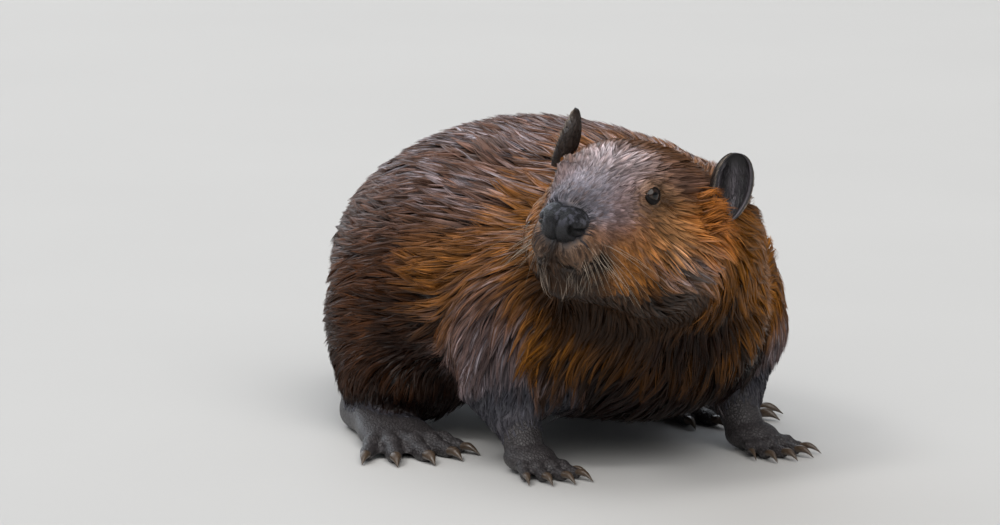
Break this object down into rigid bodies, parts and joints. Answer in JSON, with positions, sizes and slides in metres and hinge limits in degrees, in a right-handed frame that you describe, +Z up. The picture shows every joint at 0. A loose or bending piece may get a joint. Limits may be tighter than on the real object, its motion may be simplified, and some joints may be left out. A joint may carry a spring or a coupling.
{
  "type": "beaver",
  "caption": "Life-size crouching beaver with its head turned to its right, a dense wet coat, webbed hind feet and a broad flat scaly tail.",
  "frame": {"origin": "middle of the bounding box on the floor that the feet and tail rest on", "axes": "+Z up, -Y the way the body faces, +X the animal's left; the tail runs back along +Y and the head is turned towards -X"},
  "size_m": [0.4242, 0.6278, 0.2449],
  "materials": {
    "coat": "wet brown fur",
    "face_coat": "wet grey-brown and orange-brown fur",
    "paw_skin": "bare dark skin",
    "tail_skin": "scaly dark skin",
    "nose_skin": "damp dark skin",
    "ear_skin": "thinly furred dark skin",
    "eye": "wet gloss"
  },
  "bodies": {
    "root": {"head": "face_coat", "neck": "coat", "trunk": "coat", "tail_root": "coat", "foreleg_left": "coat", "foreleg_right": "coat", "hindleg_left": "coat", "hindleg_right": "coat", "forefoot_left": "paw_skin", "forefoot_right": "paw_skin", "hindfoot_left": "paw_skin", "hindfoot_right": "paw_skin", "tail_paddle": "tail_skin", "nose_pad": "nose_skin", "ear_left": "ear_skin", "ear_right": "ear_skin", "eye_left": "eye", "eye_right": "eye"}
  },
  "joints": []
}
